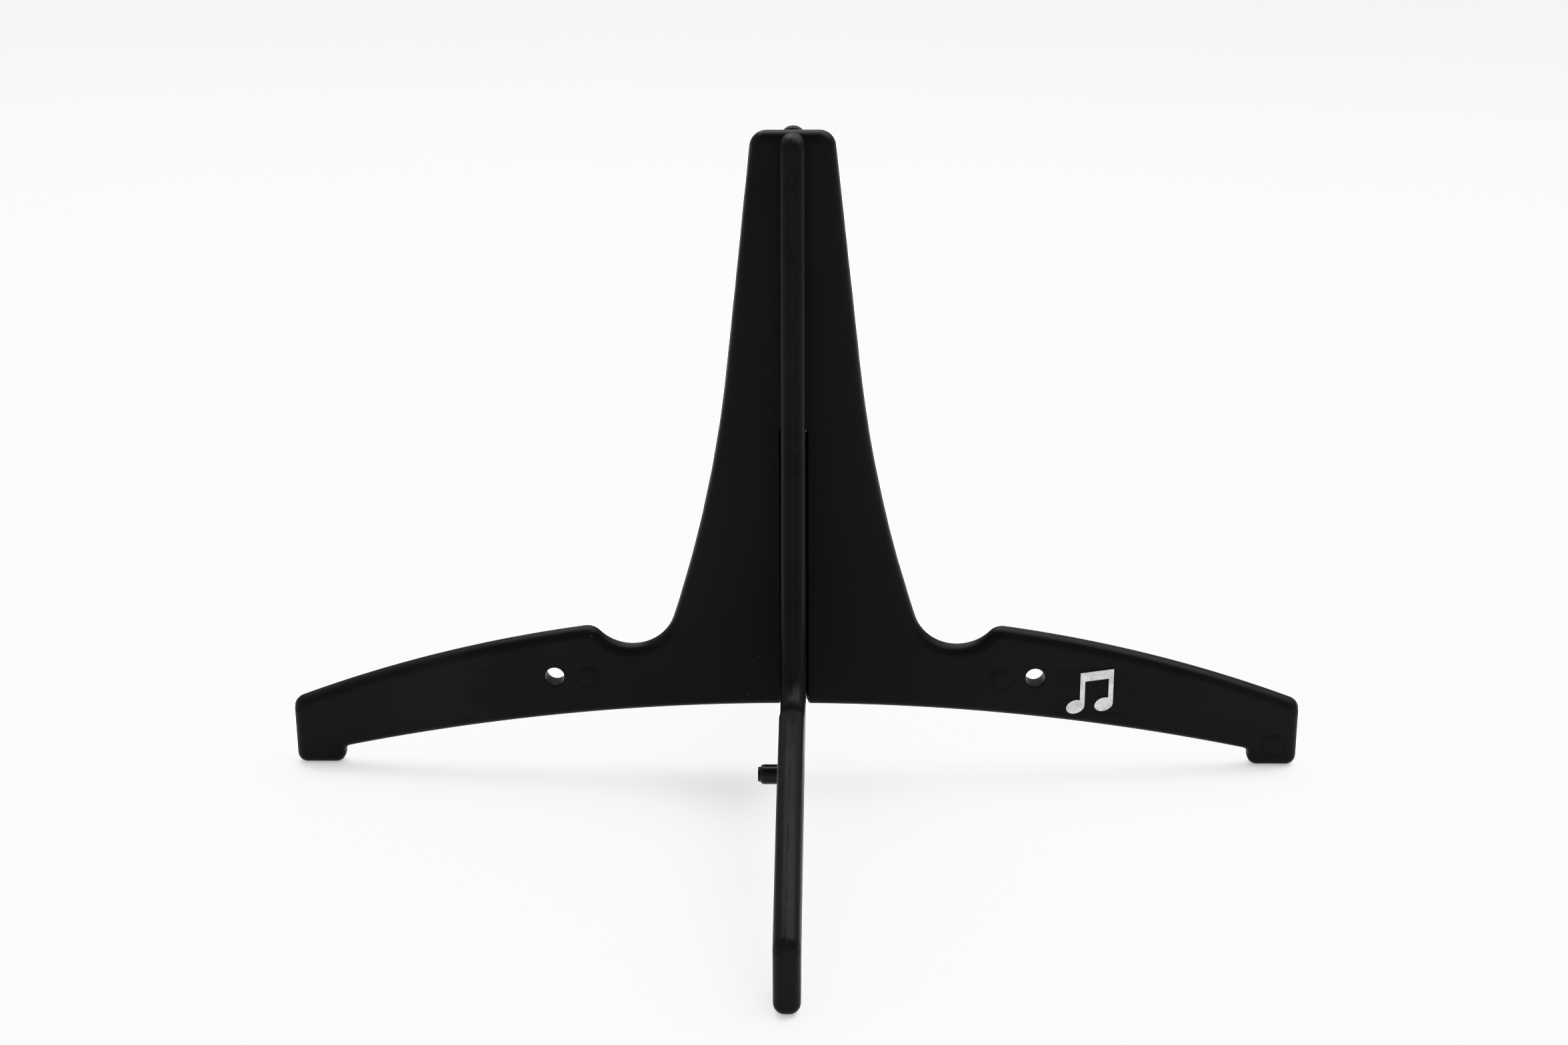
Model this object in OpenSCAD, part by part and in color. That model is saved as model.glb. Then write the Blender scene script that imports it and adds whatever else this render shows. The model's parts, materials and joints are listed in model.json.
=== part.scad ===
// Two-panel cross stand for a small instrument bell. Two flat black mouldings
// slot into each other at right angles: the cross panel (in the XZ plane) drops
// over the leg panel (in the YZ plane). The bell slides over the tapered tower
// and its rim sits in four round notches. Millimetres, +Z up, origin on the floor
// under the crossing of the two panels.

/* [Panels] */
// Length of each panel, foot to foot
span = 280; // [270:2:300]
// Height of the tower above the floor
tower_h = 177.6; // [170:0.2:190]
// Thickness of both panels
panel_t = 6.4; // [6:0.2:7]

/* [Tower] */
// Width of the tower at its top, before its corners are rounded
tower_top_w = 21.4; // [20:0.2:24]
// Slope of the tower's straight sides from the vertical, in degrees
side_slope = 6.37; // [6:0.1:6.8]
// Radius of the hollow flare between the straight side and the notch
flare_r = 360; // [340:5:400]
// Radius of the tower's top corners
tower_corner_r = 4.4; // [3:0.1:5]

/* [Bell seat] */
// Diameter of the circle that the rim of the bell sits on
seat_dia = 89.8; // [88:0.2:92]
// Radius of each rim notch
notch_r = 12.3; // [12:0.1:13]
// Height of the centre of each notch above the floor
notch_z = 47.55; // [46.5:0.1:48.5]
// Radius of the hump outside each notch
hump_r = 5; // [3:0.2:5.4]

/* [Arms and feet] */
// Radius of the arched top of each arm
arm_top_r = 372; // [360:1:390]
// Sideways place of the centre of that arch, past the tower's middle
arm_top_x = 4.3; // [2:0.1:6]
// Height of the arm's arch at its own centre
arm_crown_z = 44.4; // [43.5:0.1:45.5]
// Radius of the arch under the panel
under_r = 604; // [590:2:640]
// Height of the arch under the panel, above the floor
under_z = 18; // [17:0.1:19]
// Radius of the corner at the end of each arm
end_corner_r = 3.6; // [3:0.1:4.4]
// Length of the foot along the floor
foot_l = 13.6; // [12:0.2:16]
// Radius of the foot's lower corners
foot_corner_r = 2.8; // [2.8:0.1:3]
// Radius of the hollow corner where the foot meets the arch
foot_fillet_r = 1.8; // [1.5:0.1:2]

/* [Slots] */
// Width of the slot in each panel
slot_w = 7.2; // [7.2:0.1:7.8]
// Radius of the slot's mouth corners
slot_mouth_r = 1; // [0.5:0.1:1.5]
// Height at which the two slots meet
lap_z = 97.8; // [90:0.2:105]
// Gap left between the ends of the two slots
lap_gap = 0.2; // [0.1:0.1:0.5]

/* [Flat storage] */
// Distance of each storage hole and peg from the middle of its panel
store_x = 66.5; // [64:0.5:72]
// Height of the storage holes and pegs above the floor
store_z = 26.5; // [25:0.5:28]
// Diameter of the storage holes
hole_dia = 5.4; // [5.4:0.1:5.8]
// Diameter of the storage pegs
peg_dia = 5; // [4.6:0.1:5]
// How far a peg stands out of its panel
peg_l = 5.1; // [4.8:0.1:6]
// Diameter of the stepped tip of a peg
peg_tip_dia = 3.8; // [3.4:0.1:4]

/* [Mark] */
// Height of the raised mark on the right arm
mark_h = 13.4; // [10:0.2:15]
// How far the mark stands out of the panel
mark_t = 0.4; // [0.3:0.1:0.8]

/* [Hidden] */
$fn = 96;
panel_colour = [0.07, 0.07, 0.07];
foil_colour = [0.78, 0.78, 0.8];
half_span = span / 2;
arc_step = 9;
long_arc_step = 1.5;
long_arc_r = 100;
peg_tip_l = 0.65;
peg_round = 0.95;

// Centres of the outline's arcs, each worked out from the two stretches that it joins.
notch_c = [seat_dia / 2, notch_z];
arm_c = [arm_top_x, arm_crown_z - arm_top_r];
under_c = [0, under_z - under_r];
side_top = [tower_top_w / 2, tower_h];
side_n = [cos(side_slope), sin(side_slope)];
// The flare touches the straight side and runs on into the notch's own circle.
flare_turn = acos((flare_r - (notch_c - side_top) * side_n) / (flare_r - notch_r));
flare_a = side_slope + flare_turn;
flare_c = notch_c + (flare_r - notch_r) * [cos(flare_a), sin(flare_a)];
hump_c = meet(notch_c, notch_r + hump_r, arm_c, arm_top_r - hump_r);
hump_a0 = bearing(hump_c, notch_c);
hump_a1 = bearing(arm_c, hump_c);
end_c = [half_span - end_corner_r, on_arc(arm_c, arm_top_r - end_corner_r, half_span - end_corner_r)];
end_a = bearing(arm_c, end_c);
foot_out_c = [half_span - foot_corner_r, foot_corner_r];
foot_in_c = [half_span - foot_l + foot_corner_r, foot_corner_r];
fillet_x = half_span - foot_l - foot_fillet_r;
fillet_c = [fillet_x, on_arc(under_c, under_r - foot_fillet_r, fillet_x)];
fillet_a = bearing(under_c, fillet_c);
// The tower's top corner touches the flat top and the straight side.
top_c = [
    side_top[0] - tower_corner_r * (1 - sin(side_slope)) / cos(side_slope),
    tower_h - tower_corner_r
];

function bearing(from, to) = atan2(to[1] - from[1], to[0] - from[0]);
function on_arc(c, r, x) = c[1] + sqrt(r * r - (x - c[0]) * (x - c[0]));
// The upper one of the two points at distance r1 from c1 and r2 from c2.
function meet(c1, r1, c2, r2) =
    let (
        d = norm(c2 - c1),
        along = (d * d + r1 * r1 - r2 * r2) / (2 * d),
        off = sqrt(r1 * r1 - along * along),
        u = (c2 - c1) / d
    )
    c1 + along * u + off * [-u[1], u[0]];
function arc_pts(c, r, a0, a1) =
    let (n = ceil(abs(a1 - a0) / (r > long_arc_r ? long_arc_step : arc_step)))
    [for (i = [0 : n]) c + r * [cos(a0 + (a1 - a0) * i / n), sin(a0 + (a1 - a0) * i / n)]];
function mirrored(pts) = [for (i = [len(pts) - 1 : -1 : 0]) [-pts[i][0], pts[i][1]]];

// Right half of a panel's outline, from the middle of the top round to the middle of the arch.
function half_outline() =
    concat(
        arc_pts(top_c, tower_corner_r, 90, side_slope),
        arc_pts(flare_c, flare_r, 180 + side_slope, 180 + flare_a),
        arc_pts(notch_c, notch_r, 180 + flare_a, 180 + hump_a0),
        arc_pts(hump_c, hump_r, hump_a0, hump_a1),
        arc_pts(arm_c, arm_top_r, hump_a1, end_a),
        arc_pts(end_c, end_corner_r, end_a, 0),
        arc_pts(foot_out_c, foot_corner_r, 0, -90),
        arc_pts(foot_in_c, foot_corner_r, 270, 180),
        arc_pts(fillet_c, foot_fillet_r, 0, fillet_a),
        arc_pts(under_c, under_r, fillet_a, 90)
    );

// Both panels share this blank, drawn flat.
module panel_blank() {
    linear_extrude(panel_t, center = true) {
        polygon(concat(half_outline(), mirrored(half_outline())));
    }
}

// Slot from the edge at mouth_y to end_y, with rounded mouth corners.
module slot_cut(mouth_y, end_y) {
    way = sign(end_y - mouth_y);
    past = 8;
    linear_extrude(panel_t + 2, center = true) {
        translate([-slot_w / 2, min(mouth_y - way * past, end_y)]) {
            square([slot_w, abs(end_y - mouth_y) + past]);
        }
        for (s = [-1, 1]) difference() {
            translate([s * slot_w / 2, mouth_y]) square(2 * slot_mouth_r, center = true);
            translate([s * (slot_w / 2 + slot_mouth_r), mouth_y + way * slot_mouth_r]) circle(slot_mouth_r);
        }
    }
}

module cross_panel() {
    color(panel_colour) rotate([90, 0, 0]) difference() {
        panel_blank();
        slot_cut(under_z, lap_z + lap_gap / 2);
        for (s = [-1, 1]) translate([s * store_x, store_z, 0]) {
            cylinder(d = hole_dia, h = panel_t + 2, center = true);
        }
    }
}

module leg_panel() {
    color(panel_colour) rotate([90, 0, 90]) difference() {
        panel_blank();
        slot_cut(tower_h, lap_z - lap_gap / 2);
    }
}

// Stepped peg on the leg panel's left face, at distance y from the middle.
module storage_peg(y) {
    body_l = peg_l - peg_tip_l - peg_round;
    ease = (peg_dia - peg_tip_dia) / 2;
    color(panel_colour) translate([-panel_t / 2, y, store_z]) rotate([0, -90, 0]) {
        cylinder(d = peg_dia, h = body_l);
        translate([0, 0, body_l]) cylinder(d1 = peg_dia, d2 = peg_dia - ease, h = peg_round / 2);
        translate([0, 0, body_l + peg_round / 2]) {
            cylinder(d1 = peg_dia - ease, d2 = peg_tip_dia, h = peg_round / 2);
        }
        translate([0, 0, peg_l - peg_tip_l]) cylinder(d = peg_tip_dia, h = peg_tip_l);
    }
}

module front_storage_peg() {
    storage_peg(-store_x);
}

module rear_storage_peg() {
    storage_peg(store_x);
}

// A plain pair of joined quavers, raised from the right arm's front face.
module note_mark() {
    gap = mark_h * 0.62;
    head_r = mark_h * 0.17;
    stem_w = mark_h * 0.09;
    beam_h = mark_h * 0.2;
    at = [store_x + 11, store_z - 10.4];
    color(foil_colour) translate([at[0], -panel_t / 2, at[1]]) rotate([90, 0, 0]) {
        linear_extrude(mark_t) {
            for (x = [0, gap]) translate([x, head_r]) {
                circle(head_r);
                translate([head_r - stem_w, 0]) square([stem_w, mark_h - head_r]);
            }
            translate([head_r - stem_w, mark_h - beam_h]) square([gap + stem_w, beam_h]);
        }
    }
}

cross_panel();
leg_panel();
front_storage_peg();
rear_storage_peg();
note_mark();
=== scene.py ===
"""Looks for the two-panel bell stand: both black mouldings, their pegs and the silver mark."""
import json
import math

import bmesh
import bpy
from mathutils import Matrix, Vector, noise


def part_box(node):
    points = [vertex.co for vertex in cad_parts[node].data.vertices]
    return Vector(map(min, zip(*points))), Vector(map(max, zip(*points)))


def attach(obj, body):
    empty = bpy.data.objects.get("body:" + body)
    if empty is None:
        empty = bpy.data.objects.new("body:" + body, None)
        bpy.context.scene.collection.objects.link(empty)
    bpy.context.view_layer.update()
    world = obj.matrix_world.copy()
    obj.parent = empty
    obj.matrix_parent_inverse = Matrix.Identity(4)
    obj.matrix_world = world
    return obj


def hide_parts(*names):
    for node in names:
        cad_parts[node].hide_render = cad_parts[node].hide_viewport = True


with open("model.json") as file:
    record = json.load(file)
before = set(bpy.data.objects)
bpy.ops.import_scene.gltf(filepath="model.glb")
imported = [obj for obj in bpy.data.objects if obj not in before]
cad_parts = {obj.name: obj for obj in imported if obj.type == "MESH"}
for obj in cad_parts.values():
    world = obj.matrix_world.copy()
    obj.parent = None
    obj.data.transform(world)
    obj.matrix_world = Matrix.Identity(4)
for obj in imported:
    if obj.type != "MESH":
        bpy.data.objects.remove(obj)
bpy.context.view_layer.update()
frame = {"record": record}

MM = 0.001

# ---- Driving dimensions in millimetres, the same design as the CAD panels ----
cross_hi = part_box("cross_panel")[1]
HALF_SPAN = cross_hi[0] / MM
TOWER_H = cross_hi[2] / MM
HALF_T = cross_hi[1] / MM
MOUNTS = {m["name"]: m for m in frame["record"]["mounts"]}
HOLE = MOUNTS["storage_hole_right"]
STORE_X = HOLE["pos_m"][0] / MM
STORE_Z = HOLE["pos_m"][2] / MM
HOLE_R = HOLE["dims"]["r_mm"]
PEG_R = MOUNTS["front_storage_peg_end"]["dims"]["r_mm"]

TOWER_TOP_W = 21.4
SIDE_SLOPE = 6.37
FLARE_R = 360
TOWER_CORNER_R = 4.4
SEAT_DIA = 89.8
NOTCH_R = 12.3
NOTCH_Z = 47.55
HUMP_R = 5
ARM_TOP_R = 372
ARM_TOP_X = 4.3
ARM_CROWN_Z = 44.4
UNDER_R = 604
UNDER_Z = 18
END_CORNER_R = 3.6
FOOT_L = 13.6
FOOT_CORNER_R = 2.8
FOOT_FILLET_R = 1.8
SLOT_W = 7.2
SLOT_MOUTH_R = 1
SLOT_END_R = 0.5
LAP_Z = 97.8
LAP_GAP = 0.2

# ---- Moulding detail ----
RIM_R = 3.0            # rounding of the rim on the tower and the arms
FOOT_RIM_R = 2.65      # the same on the feet and under the arch
SLOT_RIM_R = 0.45      # nearly sharp edges in the slot
SLOT_PLAY = 0.01       # left at the parting line, where the drafted slot walls stand closest
RIM_RAMP = 1.8         # how fast one rounding may run into the next
FINE_STEP = 0.3        # spacing of the outline's points where the rounding changes
RIM_STEPS = 8
PATH_STEP = 1.2
PATH_ANGLE = 6.0
SEAM_W = 0.16          # half width of the parting line
SEAM_TOP_W = 0.02      # half width of its flat top
SEAM_H = 0.1           # height of the parting line
FOOT_SEAM_H = 0.02     # the same on the feet and under the arch
SUPPORT = 0.12         # flat strip inside the rim, so the face shades flat
SAME_POINT = 0.02      # points of an outline closer than this are one point
RUBBED = 0.55          # wear in the middle of the rounded rim; the parting line has 1

GROOVE_EDGES = (0.16, 0.05, -0.07, -0.17)  # section of a mark's groove, as distances out from its edge
EJECTOR_R = 3.05       # round marks beside the holes
EJECTOR_IN = 9.2       # their distance from the hole, towards the tower
EJECTOR_Z = STORE_Z - 0.1
FOOT_EJECTOR_R = 3.25  # round marks over the feet
FOOT_EJECTOR_IN = 7.0  # their distance from the end of the arm
FOOT_EJECTOR_Z = 6.5
INSERT_W = 19.4        # mould insert that carries the mark
INSERT_H = 12.8
INSERT_OUT = 15.1      # its centre's distance from the hole, towards the foot
INSERT_Z = STORE_Z - 3.8


def vec(x, z):
    return Vector((x, z))


def polar(c, r, a):
    return c + vec(r * math.cos(math.radians(a)), r * math.sin(math.radians(a)))


def bearing(p, q):
    return math.degrees(math.atan2(q.y - p.y, q.x - p.x))


def on_arc(c, r, x):
    return c.y + math.sqrt(r * r - (x - c.x) ** 2)


def meet(c1, r1, c2, r2):
    """The upper one of the two points at distance r1 from c1 and r2 from c2."""
    d = (c2 - c1).length
    along = (d * d + r1 * r1 - r2 * r2) / (2 * d)
    off = math.sqrt(r1 * r1 - along * along)
    u = (c2 - c1) / d
    return c1 + along * u + off * vec(-u.y, u.x)


def arc(c, r, a0, a1, rim, draft=0.0, corner=None):
    turn = abs(a1 - a0)
    n = max(2, math.ceil(turn / PATH_ANGLE), math.ceil(math.radians(turn) * r / PATH_STEP))
    return [(polar(c, r, a0 + (a1 - a0) * i / n), rim, draft, corner) for i in range(n + 1)]


def line(p, q, rim, draft=0.0, corner=None, step=PATH_STEP):
    """Points from p to q. Like arc, it gives each its rim radius, draft and corner point."""
    n = max(1, math.ceil((q - p).length / step))
    return [(p.lerp(q, i / n), rim, draft, corner) for i in range(n + 1)]


def right_side():
    """From the tower's top corner round the right arm to the arch, clockwise."""
    notch = vec(SEAT_DIA / 2, NOTCH_Z)
    arm = vec(ARM_TOP_X, ARM_CROWN_Z - ARM_TOP_R)
    under = vec(0, UNDER_Z - UNDER_R)
    side_top = vec(TOWER_TOP_W / 2, TOWER_H)
    slope = math.radians(SIDE_SLOPE)
    side_n = vec(math.cos(slope), math.sin(slope))
    turn = math.degrees(math.acos((FLARE_R - (notch - side_top).dot(side_n)) / (FLARE_R - NOTCH_R)))
    flare_a = SIDE_SLOPE + turn
    flare = polar(notch, FLARE_R - NOTCH_R, flare_a)
    hump = meet(notch, NOTCH_R + HUMP_R, arm, ARM_TOP_R - HUMP_R)
    hump_a0, hump_a1 = bearing(hump, notch), bearing(arm, hump)
    end_x = HALF_SPAN - END_CORNER_R
    end = vec(end_x, on_arc(arm, ARM_TOP_R - END_CORNER_R, end_x))
    end_a = bearing(arm, end)
    foot_out = vec(HALF_SPAN - FOOT_CORNER_R, FOOT_CORNER_R)
    foot_in = vec(HALF_SPAN - FOOT_L + FOOT_CORNER_R, FOOT_CORNER_R)
    fillet_x = HALF_SPAN - FOOT_L - FOOT_FILLET_R
    fillet = vec(fillet_x, on_arc(under, UNDER_R - FOOT_FILLET_R, fillet_x))
    fillet_a = bearing(under, fillet)
    corner_x = side_top.x - TOWER_CORNER_R * (1 - math.sin(slope)) / math.cos(slope)
    corner = vec(corner_x, TOWER_H - TOWER_CORNER_R)
    path = arc(corner, TOWER_CORNER_R, 90, SIDE_SLOPE, RIM_R)
    path += line(corner + TOWER_CORNER_R * side_n, flare - FLARE_R * side_n, RIM_R)
    path += arc(flare, FLARE_R, 180 + SIDE_SLOPE, 180 + flare_a, RIM_R)
    path += arc(notch, NOTCH_R, 180 + flare_a, 180 + hump_a0, RIM_R)
    path += arc(hump, HUMP_R, hump_a0, hump_a1, RIM_R)
    path += arc(arm, ARM_TOP_R, hump_a1, end_a, RIM_R)
    path += arc(end, END_CORNER_R, end_a, 0, RIM_R)
    path += line(vec(HALF_SPAN, end.y), vec(HALF_SPAN, FOOT_CORNER_R), FOOT_RIM_R)
    path += arc(foot_out, FOOT_CORNER_R, 0, -90, FOOT_RIM_R)
    path += line(vec(foot_out.x, 0), vec(foot_in.x, 0), FOOT_RIM_R)
    path += arc(foot_in, FOOT_CORNER_R, 270, 180, FOOT_RIM_R)
    path += line(vec(HALF_SPAN - FOOT_L, FOOT_CORNER_R), vec(HALF_SPAN - FOOT_L, fillet.y), FOOT_RIM_R)
    path += arc(fillet, FOOT_FILLET_R, 0, fillet_a, FOOT_RIM_R)
    return path, under, fillet_a, corner_x


def slot_side(mouth_z, end_z, rim):
    """The slot's right wall, from the middle of its closed end to its rounded mouth.

    Near the mouth the rounding of both panel faces runs into one corner point on each face.
    """
    way = 1 if mouth_z > end_z else -1
    x = SLOT_W / 2
    end_c = vec(x - SLOT_END_R, end_z + way * SLOT_END_R)
    mouth_c = vec(x + SLOT_MOUTH_R, mouth_z - way * SLOT_MOUTH_R)
    corner = vec(mouth_c.x, mouth_z - way * rim)
    end_draft, wall_draft = LAP_GAP / 2 - SLOT_PLAY, x - HALF_T - SLOT_PLAY
    path = line(vec(0, end_z), vec(end_c.x, end_z), SLOT_RIM_R, end_draft)
    path += arc(end_c, SLOT_END_R, -90 * way, 0, SLOT_RIM_R, end_draft)
    path += line(vec(x, end_c.y), vec(x, corner.y - way * FINE_STEP), SLOT_RIM_R, wall_draft)
    path += line(vec(x, corner.y), vec(x, mouth_c.y), rim, wall_draft, corner, FINE_STEP)
    path += arc(mouth_c, SLOT_MOUTH_R, 180, 180 - 90 * way, rim, 0.0, corner)
    return path


def mirrored(point):
    return point and vec(-point.x, point.y)


def panel_path(slot_up):
    """Closed outline of one panel, clockwise, as (point, rim radius, draft, corner) with no repeats."""
    side, under, fillet_a, corner_x = right_side()
    if slot_up:
        slot = slot_side(TOWER_H, LAP_Z - LAP_GAP / 2, RIM_R)
        half = slot + line(slot[-1][0], vec(corner_x, TOWER_H), RIM_R, step=FINE_STEP) + side
        half += arc(under, UNDER_R, fillet_a, 90, FOOT_RIM_R)
    else:
        mouth_x = SLOT_W / 2 + SLOT_MOUTH_R
        mouth_z = on_arc(under, UNDER_R, mouth_x)
        slot = slot_side(mouth_z, LAP_Z + LAP_GAP / 2, FOOT_RIM_R)
        half = line(vec(0, TOWER_H), vec(corner_x, TOWER_H), RIM_R) + side
        half += arc(under, UNDER_R, fillet_a, bearing(under, vec(mouth_x, mouth_z)), FOOT_RIM_R)
        half += slot[::-1]
    other = [(mirrored(p), rim, draft, mirrored(corner)) for p, rim, draft, corner in reversed(half)]
    path = []
    for p, rim, draft, corner in half + other:
        if path and (p - path[-1][0]).length < SAME_POINT:
            last_p, last_rim, last_draft, last_corner = path[-1]
            path[-1] = (last_p, min(rim, last_rim), min(draft, last_draft), corner or last_corner)
        else:
            path.append((p, rim, draft, corner))
    if (path[0][0] - path[-1][0]).length < SAME_POINT:
        path.pop()
    return path


def eased_rims(path):
    """Lets the rim's radius change only slowly along the outline."""
    rims = [step[1] for step in path]
    n = len(path)
    for way in (1, -1):
        for k in range(2 * n):
            i = (way * k) % n
            j = (i - way) % n
            step = (path[i][0] - path[j][0]).length
            rims[i] = min(rims[i], rims[j] + RIM_RAMP * step)
    return rims


def rim_share(rim, v):
    """How much of the rounded rim's depth lies outside distance v from the middle plane."""
    past = abs(v) - (HALF_T - rim)
    return 0.0 if past <= 0 else 1 - math.sqrt(max(0.0, 1 - (past / rim) ** 2))


def seam_wander(s, seed, rim):
    """The parting line isn't quite straight: its sideways place and its height along the rim."""
    slow = noise.noise(Vector((s * 0.05, seed, 0.3)))
    quick = noise.noise(Vector((s * 0.4, seed, 7.1)))
    drift = slow * 0.22 + quick * 0.05
    full = SEAM_H if rim > FOOT_RIM_R else FOOT_SEAM_H
    height = full * (0.75 + 0.5 * noise.noise(Vector((s * 0.21, seed, 3.7))))
    return drift, height


def rim_section(rim, draft, s, seed):
    """Section over the rim as (share of the way in to the face, push outwards, v), front to back.

    A drafted wall is pushed out towards the middle plane instead, and has no parting line.
    """
    front = []
    for k in range(RIM_STEPS):
        a = math.pi / 2 * k / RIM_STEPS
        front.append((1 - math.sin(a), 0.0, HALF_T - rim * (1 - math.cos(a))))
    drift, height = (0.0, 0.0) if draft else seam_wander(s, seed, rim)
    middle = []
    for dv, up in ((SEAM_W, 0), (SEAM_TOP_W, height), (-SEAM_TOP_W, height), (-SEAM_W, 0)):
        middle.append((rim_share(rim, drift + dv), up, drift + dv))
    whole = front + middle + [(share, up, -v) for share, up, v in reversed(front)]
    return [(share, up + draft * (1 - abs(v) / HALF_T), v) for share, up, v in whole]


class PanelMesh:
    """Collects one panel's closed mesh in flat coordinates: x, height and v across the thickness."""

    def __init__(self):
        self.bm = bmesh.new()
        self.wear = self.bm.verts.layers.float.new("wear")

    def ring(self, points, wear=0.0):
        """One loop of vertices; wear says how exposed to rubbing they are, from 0 to 1."""
        ring = [self.bm.verts.new(p) for p in points]
        for vert in ring:
            vert[self.wear] = wear
        return ring

    def bridge(self, a, b):
        n = len(a)
        for i in range(n):
            j = (i + 1) % n
            self.bm.faces.new((a[i], a[j], b[j], b[i]))

    def outline(self, path, seed):
        """The rounded rim all the way round the panel, from one face to the other."""
        rims = eased_rims(path)
        n = len(path)
        s = 0.0
        rows = []
        for i, (p, _, draft, corner) in enumerate(path):
            before, after = path[i - 1][0], path[(i + 1) % n][0]
            t = ((p - before).normalized() + (after - p).normalized()).normalized()
            out = vec(-t.y, t.x)
            target = corner or p - out * rims[i]
            if corner:
                step_x = math.copysign(SUPPORT, corner.x)
                step_z = math.copysign(SUPPORT, corner.y - p.y)
                support = corner + vec(step_x, step_z)
            else:
                support = p - out * (rims[i] + SUPPORT)
            section = rim_section(rims[i], draft, s, seed)
            row = [(*(p.lerp(target, share) + out * up), v) for share, up, v in section]
            rows.append([(*support, HALF_T)] + row + [(*support, -HALF_T)])
            s += (after - p).length
        last = len(rows[0]) - 1
        wears = [0] + [RUBBED * math.sin(math.pi * k / (last - 2)) for k in range(last - 1)] + [0]
        for k in (last // 2, last // 2 + 1):
            wears[k] = 1.0
        loops = [self.ring([row[k] for row in rows], wears[k]) for k in range(last + 1)]
        for a, b in zip(loops, loops[1:]):
            self.bridge(a, b)

    def circle(self, c, r, v, n=64):
        return self.ring([(*polar(c, r, 360 * i / n), v) for i in range(n)])

    def hole(self, c, r, edge=0.35, steps=4):
        """A round through hole with softly broken edges."""
        section = [(r + edge + 0.15, HALF_T)]
        for k in range(steps + 1):
            a = math.pi / 2 * k / steps
            section.append((r + edge * (1 - math.sin(a)), HALF_T - edge * (1 - math.cos(a))))
        section += [(rr, -v) for rr, v in reversed(section)]
        loops = [self.circle(c, rr, v) for rr, v in section]
        for a, b in zip(loops, loops[1:]):
            self.bridge(a, b)

    def witness(self, make_loop, side, groove, sunk):
        """A fine groove around a patch that lies a little deeper than the face.

        The function given makes one loop around the patch, grown by a distance, at a place across the panel.
        """
        section = zip(GROOVE_EDGES, (0, groove, groove, sunk))
        loops = [make_loop(grow, (HALF_T - depth) * side) for grow, depth in section]
        for a, b in zip(loops, loops[1:]):
            self.bridge(a, b)
        self.bm.faces.new(loops[-1])

    def ejector_mark(self, c, r, side, groove=0.12, sunk=0.06):
        """Round dent that an ejector pin leaves."""
        self.witness(lambda grow, v: self.circle(c, r + grow, v), side, groove, sunk)

    def insert_mark(self, c, w, h, side, corner=1.2, groove=0.05, sunk=0.02, n=8):
        """Outline of the mould insert that carries the mark."""

        def loop(grow, v):
            points = []
            for sx, sz, a0 in ((1, 1, 0), (-1, 1, 90), (-1, -1, 180), (1, -1, 270)):
                k = c + vec(sx * (w / 2 - corner), sz * (h / 2 - corner))
                points += [(*polar(k, corner + grow, a0 + 90 * i / n), v) for i in range(n + 1)]
            return self.ring(points)

        self.witness(loop, side, groove, sunk)

    def finish(self, name, upright):
        """Fills both faces and turns the flat drawing upright with the function given."""
        bm = self.bm
        bmesh.ops.remove_doubles(bm, verts=bm.verts, dist=0.0005)
        for side in (1, -1):
            rim = [e for e in bm.edges if e.is_boundary and e.verts[0].co.z * side > 0]
            bmesh.ops.triangle_fill(bm, use_beauty=True, use_dissolve=False, edges=rim)
        for vert in bm.verts:
            vert.co = Vector(upright(*vert.co)) * MM
        bmesh.ops.recalc_face_normals(bm, faces=bm.faces)
        return object_from(bm, name)


def object_from(bm, name, sharp_deg=32):
    """Makes an object of a bmesh, smooth but for its sharp edges."""
    for f in bm.faces:
        f.smooth = True
    for e in bm.edges:
        if len(e.link_faces) == 2:
            e.smooth = e.calc_face_angle(0) < math.radians(sharp_deg)
    mesh = bpy.data.meshes.new(name)
    bm.to_mesh(mesh)
    bm.free()
    obj = bpy.data.objects.new(name, mesh)
    bpy.context.collection.objects.link(obj)
    return obj


# ---- Materials ----


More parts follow.
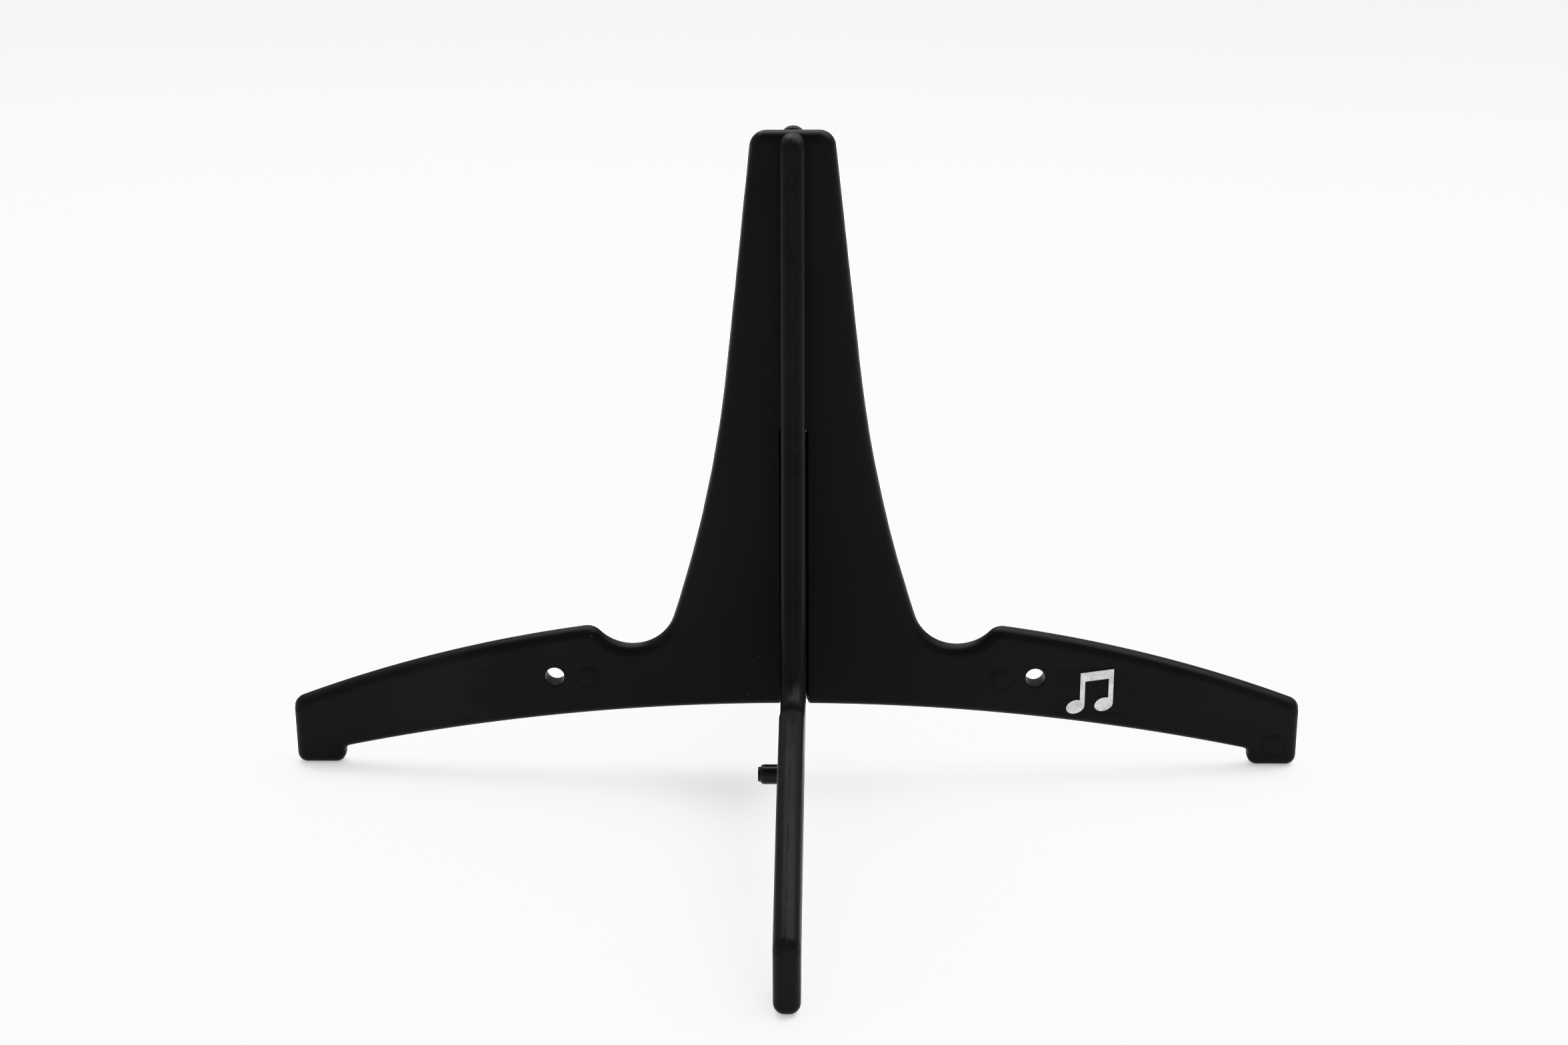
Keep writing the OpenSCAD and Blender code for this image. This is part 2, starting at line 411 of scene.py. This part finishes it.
class Nodes:
    """Short forms for building one material's node tree."""

    def __init__(self, name):
        self.mat = bpy.data.materials.new(name)
        self.mat.use_nodes = True
        self.tree = self.mat.node_tree
        self.tree.nodes.clear()
        self.out = self.add("ShaderNodeOutputMaterial")
        self.shader = self.add("ShaderNodeBsdfPrincipled")
        self.link(self.shader.outputs["BSDF"], self.out.inputs["Surface"])
        self.place = self.add("ShaderNodeTexCoord").outputs["Object"]

    def add(self, kind, **settings):
        node = self.tree.nodes.new(kind)
        for key, value in settings.items():
            setattr(node, key, value)
        return node

    def link(self, a, b):
        self.tree.links.new(a, b)

    def noise(self, scale, detail=3.0, rough=0.5, distort=0.0):
        node = self.add("ShaderNodeTexNoise")
        node.inputs["Scale"].default_value = scale
        node.inputs["Detail"].default_value = detail
        node.inputs["Roughness"].default_value = rough
        node.inputs["Distortion"].default_value = distort
        self.link(self.place, node.inputs["Vector"])
        return node.outputs["Fac"]

    def band(self, value, lo, hi, to_lo, to_hi):
        node = self.add("ShaderNodeMapRange", clamp=True)
        for key, number in zip(("From Min", "From Max", "To Min", "To Max"), (lo, hi, to_lo, to_hi)):
            node.inputs[key].default_value = number
        self.link(value, node.inputs["Value"])
        return node.outputs["Result"]

    def math(self, op, a, b):
        node = self.add("ShaderNodeMath", operation=op)
        for socket, value in zip(node.inputs, (a, b)):
            if isinstance(value, (int, float)):
                socket.default_value = value
            else:
                self.link(value, socket)
        return node.outputs[0]

    def mix(self, fac, a, b):
        """Colour a or b; 6, 7 and 2 are the places of the node's colour sockets."""
        node = self.add("ShaderNodeMix", data_type="RGBA")
        self.link(fac, node.inputs["Factor"])
        for socket, value in ((node.inputs[6], a), (node.inputs[7], b)):
            if isinstance(value, tuple):
                socket.default_value = (*value, 1)
            else:
                self.link(value, socket)
        return node.outputs[2]

    def bump(self, height, strength, distance, normal=None):
        node = self.add("ShaderNodeBump")
        node.inputs["Strength"].default_value = strength
        node.inputs["Distance"].default_value = distance
        self.link(height, node.inputs["Height"])
        if normal:
            self.link(normal, node.inputs["Normal"])
        return node.outputs["Normal"]


def black_plastic(name, seed, rough_lo=0.31, rough_hi=0.39, specular=0.2):
    """Satin black moulding: flow mottling, fine grain, rubbed rims, a little dust, and on the left arm
    a flow mark whose sheen is painted as a faint paler patch of base colour."""
    n = Nodes(name)
    shader = n.shader
    shader.inputs["Specular IOR Level"].default_value = specular
    shader.inputs["Specular Tint"].default_value = (0.95, 0.985, 1.0, 1.0)
    flow = n.noise(26 + seed, 3.0, 0.55, 0.6)
    cloud = n.noise(9 + seed, 2.0, 0.5, 1.2)
    grain = n.noise(2600, 3.0, 0.6)
    wear = n.add("ShaderNodeAttribute", attribute_name="wear").outputs["Fac"]
    rim = n.band(wear, 0.25, 1.0, 0.0, 1.0)
    patchy = n.math("MULTIPLY", rim, n.band(n.noise(160, 4.0, 0.6), 0.42, 0.62, 0.2, 1.0))
    mottle = n.band(flow, 0.35, 0.65, 0.0, 1.0)
    base = n.mix(mottle, (0.0074, 0.0079, 0.0083), (0.0112, 0.0119, 0.0123))
    base = n.mix(patchy, base, (0.024, 0.025, 0.026))
    cells = n.add("ShaderNodeTexVoronoi", feature="F1")
    cells.inputs["Scale"].default_value = 230
    n.link(n.place, cells.inputs["Vector"])
    speck = n.band(cells.outputs["Distance"], 0.02, 0.05, 1.0, 0.0)
    few = n.band(n.noise(60 + seed, 2.0), 0.56, 0.62, 0.0, 1.0)
    dust = n.math("MULTIPLY", speck, few)
    base = n.mix(dust, base, (0.16, 0.16, 0.16))
    along = n.add("ShaderNodeSeparateXYZ")
    n.link(n.place, along.inputs["Vector"])
    # The painted sheen patch starts and ends at ragged places along X, in metres.
    ragged = n.band(n.noise(28, 3.0, 0.55, 0.8), 0.2, 0.8, -0.018, 0.018)
    reach = n.math("ADD", along.outputs["X"], ragged)
    sheen_near_end = n.band(reach, -0.0865, -0.0835, 1.0, 0.0)
    sheen_far_end = n.band(reach, -0.128, -0.1, 0.0, 1.0)
    # Painted sheen: a paler base colour stands for the flow mark's glossier look on the left arm.
    base = n.mix(n.math("MULTIPLY", sheen_near_end, sheen_far_end), base, (0.0152, 0.0158, 0.0162))
    n.link(base, shader.inputs["Base Color"])
    rough = n.math("ADD", n.band(cloud, 0.35, 0.65, rough_lo, rough_hi), n.band(flow, 0.3, 0.7, -0.03, 0.04))
    rough = n.math("ADD", rough, n.band(grain, 0.3, 0.7, -0.02, 0.03))
    rough = n.math("SUBTRACT", rough, n.band(patchy, 0.0, 1.0, 0.0, 0.07))
    n.link(rough, shader.inputs["Roughness"])
    soft = n.bump(n.noise(130 + seed, 2.0), 0.2, 0.00004)
    fine = n.bump(grain, 0.35, 0.000012, soft)
    n.link(n.bump(dust, 0.5, 0.00003, fine), shader.inputs["Normal"])
    return n.mat


def silver_foil(name):
    """Hot-stamped foil: bright, faintly crinkled, dulled in places."""
    n = Nodes(name)
    shader = n.shader
    shader.inputs["Metallic"].default_value = 0.7
    dull = n.noise(420, 4.0, 0.6)
    base = n.mix(n.band(dull, 0.4, 0.65, 0.0, 1.0), (0.62, 0.62, 0.62), (0.5, 0.5, 0.51))
    n.link(base, shader.inputs["Base Color"])
    n.link(n.band(dull, 0.35, 0.7, 0.22, 0.42), shader.inputs["Roughness"])
    crinkle = n.bump(n.noise(900, 3.0, 0.6), 0.3, 0.00003)
    n.link(n.bump(n.noise(5000, 2.0), 0.2, 0.00001, crinkle), shader.inputs["Normal"])
    return n.mat


def pale_floor(name):
    """White table, lit a little from below so that the shadows stay faint."""
    n = Nodes(name)
    cloud = n.band(n.noise(3, 2.0), 0.3, 0.7, 0.0, 1.0)
    base = n.mix(cloud, (0.73, 0.73, 0.73), (0.75, 0.75, 0.75))
    n.link(base, n.shader.inputs["Base Color"])
    n.link(base, n.shader.inputs["Emission Color"])
    n.shader.inputs["Emission Strength"].default_value = 0.66
    n.shader.inputs["Roughness"].default_value = 0.6
    n.shader.inputs["Specular IOR Level"].default_value = 0.2
    return n.mat


# ---- Pieces ----


def settle(piece, body, node, material):
    piece.data.materials.append(material)
    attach(piece, body)
    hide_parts(node)


def make_cross_panel():
    panel = PanelMesh()
    panel.outline(panel_path(slot_up=False), seed=1.7)
    for side in (-1, 1):
        panel.hole(vec(side * STORE_X, STORE_Z), HOLE_R)
        panel.ejector_mark(vec(side * (STORE_X - EJECTOR_IN), EJECTOR_Z), EJECTOR_R, 1)
    panel.ejector_mark(vec(HALF_SPAN - FOOT_EJECTOR_IN, FOOT_EJECTOR_Z), FOOT_EJECTOR_R, 1)
    panel.insert_mark(vec(STORE_X + INSERT_OUT, INSERT_Z), INSERT_W, INSERT_H, 1)
    return panel.finish("cross_panel_moulding", lambda x, z, v: (x, -v, z))


def make_leg_panel():
    panel = PanelMesh()
    panel.outline(panel_path(slot_up=True), seed=8.2)
    for side in (-1, 1):
        panel.ejector_mark(vec(side * (STORE_X - EJECTOR_IN), EJECTOR_Z), EJECTOR_R, -1)
        panel.ejector_mark(vec(side * (HALF_SPAN - FOOT_EJECTOR_IN), FOOT_EJECTOR_Z), FOOT_EJECTOR_R, -1)
    return panel.finish("leg_panel_moulding", lambda y, z, v: (v, y, z))


def lathe(profile, turns=56):
    """Closed solid of revolution about X from (distance along the axis, radius), ends on the axis."""
    bm = bmesh.new()
    rows = []
    for along, r in profile:
        if r == 0:
            rows.append([bm.verts.new((along, 0, 0))])
        else:
            angles = [2 * math.pi * i / turns for i in range(turns)]
            rows.append([bm.verts.new((along, r * math.cos(a), r * math.sin(a))) for a in angles])
    for a, b in zip(rows, rows[1:]):
        for i in range(turns):
            j = (i + 1) % turns
            if len(a) == 1:
                bm.faces.new((a[0], b[j], b[i]))
            elif len(b) == 1:
                bm.faces.new((a[i], a[j], b[0]))
            else:
                bm.faces.new((a[i], a[j], b[j], b[i]))
    bmesh.ops.recalc_face_normals(bm, faces=bm.faces)
    return bm


def make_peg(node):
    """Stepped storage peg with a small fillet at its root and a shallow dimple in its tip."""
    lo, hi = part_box(node)
    length = (hi[0] - lo[0]) / MM
    tip_r = 1.9
    tip_l = 0.65
    round_l = 0.95
    root = 0.35
    dimple = 0.06
    shoulder = length - tip_l
    profile = [(0, 0), (0, PEG_R + root)]
    for k in range(1, 6):
        a = math.pi / 2 * k / 5
        profile.append((root * (1 - math.cos(a)), PEG_R + root * (1 - math.sin(a))))
    for k in range(0, 7):
        a = math.pi / 2 * k / 6
        profile.append((shoulder - round_l * (1 - math.sin(a)), tip_r + (PEG_R - tip_r) * math.cos(a)))
    profile += [(shoulder + 0.02, tip_r - 0.04), (length - 0.1, tip_r - 0.06)]
    profile += [(length - 0.02, tip_r - 0.13), (length, tip_r - 0.25)]
    profile += [(length - dimple, tip_r - 0.7), (length - dimple, 0)]
    bm = lathe(profile)
    centre_y, centre_z = (lo[1] + hi[1]) / 2, (lo[2] + hi[2]) / 2
    for v in bm.verts:
        v.co = Vector((hi[0] - v.co.x * MM, centre_y + v.co.y * MM, centre_z + v.co.z * MM))
    bmesh.ops.recalc_face_normals(bm, faces=bm.faces)
    return object_from(bm, node + "_moulding")


def make_mark():
    """Two joined quavers: slanted oval heads, slim stems and a heavy beam, with soft edges."""
    lo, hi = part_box("note_mark")
    w, h = hi[0] - lo[0], hi[2] - lo[2]
    head_rx = w * 0.205
    head_rz = w * 0.15
    tilt = math.radians(24)
    stem_w = w * 0.105
    beam_h = h * 0.2
    rise = h * 0.1
    half_w = math.hypot(head_rx * math.cos(tilt), head_rz * math.sin(tilt))
    half_h = math.hypot(head_rx * math.sin(tilt), head_rz * math.cos(tilt))
    heads = [(lo[0] + half_w, lo[2] + half_h), (hi[0] - half_w, lo[2] + half_h + rise * 0.6)]
    stems = [x + half_w - stem_w for x, _ in heads]

    def head_arc(head, a0=48, a1=346, n=26):
        """The oval from where the stem's left side leaves it round to the right side."""
        points = []
        for i in range(n + 1):
            a = math.radians(a0 + (a1 - a0) * i / n)
            ex, ez = head_rx * math.cos(a), head_rz * math.sin(a)
            x = head[0] + ex * math.cos(tilt) - ez * math.sin(tilt)
            z = head[1] + ex * math.sin(tilt) + ez * math.cos(tilt)
            points.append((x, z))
        return points

    def beam_top(x):
        return hi[2] - rise * (1 - (x - stems[0]) / (stems[1] + stem_w - stems[0]))

    # First head, its stem's right side, under the beam, second head and stem, back over the beam.
    outline = head_arc(heads[0])
    outline.append((stems[0] + stem_w, heads[0][1] + head_rz * 0.3))
    outline.append((stems[0] + stem_w, beam_top(stems[0] + stem_w) - beam_h))
    outline.append((stems[1], beam_top(stems[1]) - beam_h))
    outline.append((stems[1], heads[1][1] + head_rz * 1.02))
    outline += head_arc(heads[1])
    outline.append((stems[1] + stem_w, heads[1][1] + head_rz * 0.3))
    outline.append((stems[1] + stem_w, beam_top(stems[1] + stem_w)))
    outline.append((stems[0], beam_top(stems[0])))
    outline.append((stems[0], heads[0][1] + head_rz * 1.02))

    bm = bmesh.new()
    front = [bm.verts.new((x, lo[1], z)) for x, z in outline]
    back = [bm.verts.new((x, hi[1], z)) for x, z in outline]
    bm.faces.new(front)
    bm.faces.new(back[::-1])
    for i in range(len(outline)):
        j = (i + 1) % len(outline)
        bm.faces.new((front[i], back[i], back[j], front[j]))
    bmesh.ops.recalc_face_normals(bm, faces=bm.faces)
    obj = object_from(bm, "note_mark_foil")
    bevel = obj.modifiers.new("soft_edges", "BEVEL")
    bevel.width = (hi[1] - lo[1]) * 0.3
    bevel.segments = 3
    bevel.limit_method = "ANGLE"
    bevel.angle_limit = math.radians(50)
    return obj


plastic_cross = black_plastic("satin_black_cross", 0)
plastic_leg = black_plastic("satin_black_leg", 3)
plastic_peg = black_plastic("polished_black_peg", 5, 0.16, 0.22, 0.4)
foil = silver_foil("silver_foil")

settle(make_cross_panel(), "cross_panel", "cross_panel", plastic_cross)
settle(make_leg_panel(), "leg_panel", "leg_panel", plastic_leg)
for peg_node in ("front_storage_peg", "rear_storage_peg"):
    settle(make_peg(peg_node), "leg_panel", peg_node, plastic_peg)
settle(make_mark(), "cross_panel", "note_mark", foil)


# ---- Stage, light and camera, in metres and radians ----

FLOOR_REACH = 12.0
SENSOR_W = 36          # millimetres
FOCAL = 1.51148        # focal length as a multiple of the sensor's width
CAMERA_AIM = Vector((-2.75, 0, 70.79)) * MM
CAMERA_DISTANCE = 644.5 * MM
CAMERA_YAW = -0.0192
CAMERA_PITCH = 0.3274
CAMERA_ROLL = -0.0050


def make_floor():
    bm = bmesh.new()
    bmesh.ops.create_grid(bm, x_segments=1, y_segments=1, size=FLOOR_REACH)
    floor = object_from(bm, "floor")
    floor.data.materials.append(pale_floor("pale_floor"))


def area_light(name, place, target, size, power):
    data = bpy.data.lights.new(name, "AREA")
    data.shape = "RECTANGLE"
    data.size, data.size_y = size
    data.energy = power
    obj = bpy.data.objects.new(name, data)
    obj.location = place
    obj.rotation_euler = (Vector(target) - Vector(place)).to_track_quat("-Z", "Y").to_euler()
    bpy.context.collection.objects.link(obj)


def make_light():
    """A white light tent, brightest overhead and darker high up in front, with one softbox."""
    world = bpy.data.worlds.new("studio")
    world.use_nodes = True
    bpy.context.scene.world = world
    tree = world.node_tree
    sky = tree.nodes["Background"]
    sky.inputs["Color"].default_value = (1, 1, 1, 1)
    direction = tree.nodes.new("ShaderNodeTexCoord").outputs["Generated"]

    def facing(toward, smooth, lo, hi, to_lo, to_hi):
        dot = tree.nodes.new("ShaderNodeVectorMath")
        dot.operation = "DOT_PRODUCT"
        dot.inputs[1].default_value = toward
        ramp = tree.nodes.new("ShaderNodeMapRange")
        ramp.interpolation_type = smooth
        for key, number in zip(("From Min", "From Max", "To Min", "To Max"), (lo, hi, to_lo, to_hi)):
            ramp.inputs[key].default_value = number
        tree.links.new(direction, dot.inputs[0])
        tree.links.new(dot.outputs["Value"], ramp.inputs["Value"])
        return ramp.outputs["Result"]

    overhead = facing((0, 0, 1), "LINEAR", 0, 1, 0.6, 1.0)
    opening = facing((0, -0.423, 0.906), "SMOOTHSTEP", 0.75, 0.97, 1.0, 0.25)
    strength = tree.nodes.new("ShaderNodeMath")
    strength.operation = "MULTIPLY"
    tree.links.new(overhead, strength.inputs[0])
    tree.links.new(opening, strength.inputs[1])
    tree.links.new(strength.outputs[0], sky.inputs["Strength"])
    area_light("softbox", (0.2, 0.4, 1.0), (0, 0, 0.05), (1.7, 0.9), 13)


def make_camera():
    """Eye height and distance that give the stand's proportions in perspective."""
    level = math.cos(CAMERA_PITCH)
    look = Vector((math.sin(CAMERA_YAW) * level, math.cos(CAMERA_YAW) * level, -math.sin(CAMERA_PITCH)))
    right = look.cross(Vector((0, 0, 1))).normalized()
    up = right.cross(look)
    c, s = math.cos(CAMERA_ROLL), math.sin(CAMERA_ROLL)
    right, up = c * right + s * up, c * up - s * right
    data = bpy.data.cameras.new("camera")
    data.sensor_width = SENSOR_W
    data.lens = SENSOR_W * FOCAL
    data.clip_start = 0.01
    data.clip_end = 60
    cam = bpy.data.objects.new("camera", data)
    bpy.context.collection.objects.link(cam)
    place = CAMERA_AIM - look * CAMERA_DISTANCE
    turn = Matrix((right, up, -look)).transposed()
    cam.matrix_world = Matrix.Translation(place) @ turn.to_4x4()
    bpy.context.scene.camera = cam


def set_film():
    """Deepens the darks, and rolls off the brightest values to keep faint shadows just under white."""
    settings = bpy.context.scene.view_settings
    settings.view_transform = "Standard"
    settings.gamma = 0.72
    settings.use_curve_mapping = True
    mapping = settings.curve_mapping
    full = 1.4
    mapping.white_level = (full, full, full)
    curve = mapping.curves[3]
    curve.points[0].location = (0, 0)
    curve.points[1].location = (1, 0.975)
    for x, y in ((0.75, 0.75), (1.0, 0.92), (1.2, 0.96)):
        curve.points.new(x / full, y)
    for point in curve.points[:2]:
        point.handle_type = "VECTOR"
    mapping.update()


make_floor()
make_light()
make_camera()
set_film()
